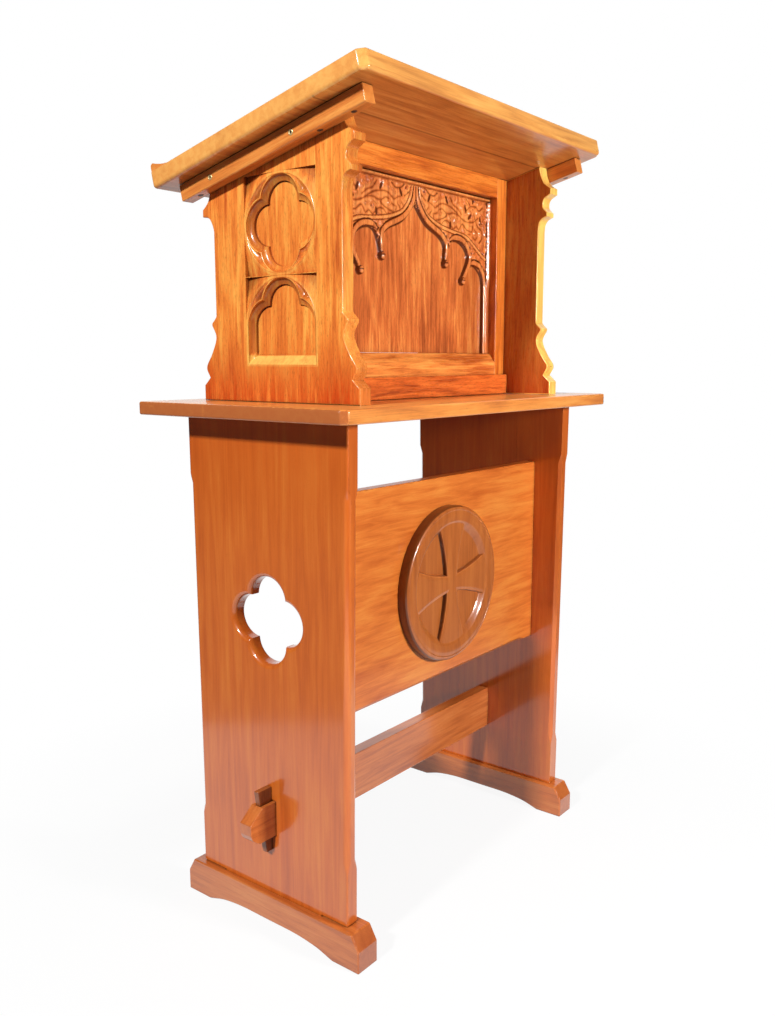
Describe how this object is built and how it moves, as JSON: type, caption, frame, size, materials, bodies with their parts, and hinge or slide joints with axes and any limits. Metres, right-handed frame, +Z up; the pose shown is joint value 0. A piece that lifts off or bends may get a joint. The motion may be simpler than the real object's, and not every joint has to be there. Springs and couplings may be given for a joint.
{
  "type": "church lectern",
  "caption": "Gothic revival wooden lectern: sloping book board on a traceried desk, shelf, pierced end panels, sledge feet and a keyed stretcher.",
  "frame": {"origin": "on the floor under the middle of the whole object's box", "axes": "+Z up, -Y towards the carved front, +Y towards the reader, +X to the right seen from the front"},
  "size_m": [0.702, 0.4026, 1.1854],
  "materials": {
    "honey_wood": "varnished, satin gloss",
    "amber_wood": "varnished, satin gloss",
    "russet_wood": "varnished, carved",
    "nut_wood": "varnished, darker",
    "brass_screws": "aged",
    "steel_screws": "dull"
  },
  "bodies": {
    "stand": {"apron_panel": "honey_wood", "left_end_panel": "honey_wood", "right_end_panel": "honey_wood", "left_bearer": "honey_wood", "right_bearer": "honey_wood", "stretcher": "amber_wood", "shelf": "amber_wood", "book_board": "amber_wood", "book_ledge": "amber_wood", "frame_top_rail": "amber_wood", "frame_bottom_rail": "amber_wood", "left_foot": "amber_wood", "right_foot": "amber_wood", "left_frame_stile": "amber_wood", "right_frame_stile": "amber_wood", "left_desk_side": "russet_wood", "right_desk_side": "russet_wood", "plinth_rail": "russet_wood", "tracery_panel": "russet_wood", "cross_roundel": "nut_wood", "left_back_side_screw": "brass_screws", "left_front_side_screw": "brass_screws", "right_back_side_screw": "brass_screws", "right_front_side_screw": "brass_screws", "left_back_board_screw": "steel_screws", "left_middle_board_screw": "steel_screws", "left_front_board_screw": "steel_screws", "right_back_board_screw": "steel_screws", "right_middle_board_screw": "steel_screws", "right_front_board_screw": "steel_screws"},
    "left_wedge": {"left_tusk_wedge": "nut_wood"},
    "right_wedge": {"right_tusk_wedge": "nut_wood"}
  },
  "joints": [
    {"name": "left_wedge_lift", "type": "slide", "parent": "stand", "child": "left_wedge", "axis": [0, 0, 1], "range_m": [0, 0.08]},
    {"name": "right_wedge_lift", "type": "slide", "parent": "stand", "child": "right_wedge", "axis": [0, 0, 1], "range_m": [0, 0.08]}
  ]
}
